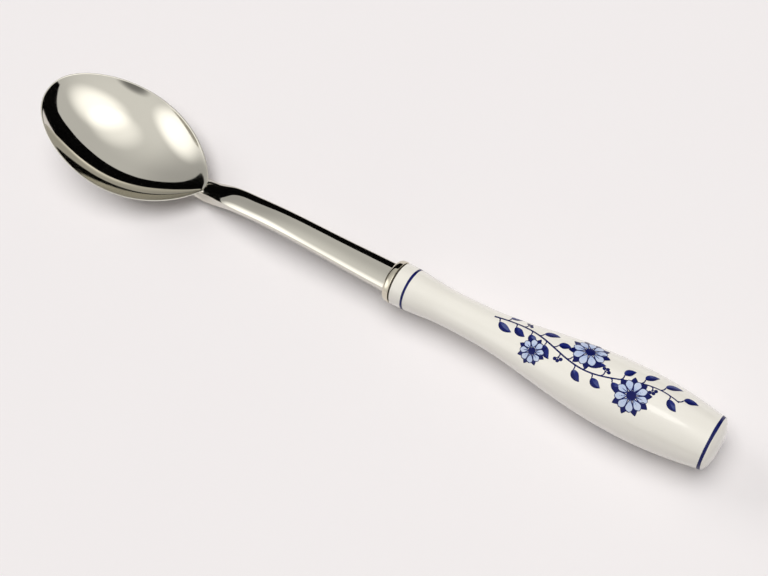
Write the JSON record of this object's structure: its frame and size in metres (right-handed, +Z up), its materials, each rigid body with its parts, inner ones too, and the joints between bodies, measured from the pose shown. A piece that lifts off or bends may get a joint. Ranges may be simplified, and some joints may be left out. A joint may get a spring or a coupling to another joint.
{
  "type": "salad serving spoon",
  "caption": "Salad serving spoon with a deep pointed steel bowl, a slim bowed stem, a collar bead and a waisted white porcelain handle with blue decoration.",
  "frame": {"origin": "on the table, under the middle of the spoon's length and width", "axes": "+X along the spoon from bowl to butt, level with the table, +Y across the bowl, +Z up from the table"},
  "size_m": [0.2504, 0.0386, 0.0259],
  "materials": {
    "polished_steel": "mirror-polished stainless steel",
    "collar_steel": "mirror-polished stainless steel bead",
    "glazed_porcelain": "clear glaze over white porcelain, cobalt blue under the glaze",
    "cement": "matt grey handle cement"
  },
  "bodies": {
    "root": {"spoon_head": "polished_steel", "collar_ring": "collar_steel", "porcelain_handle": "glazed_porcelain", "tang_cement": "cement"}
  },
  "joints": []
}
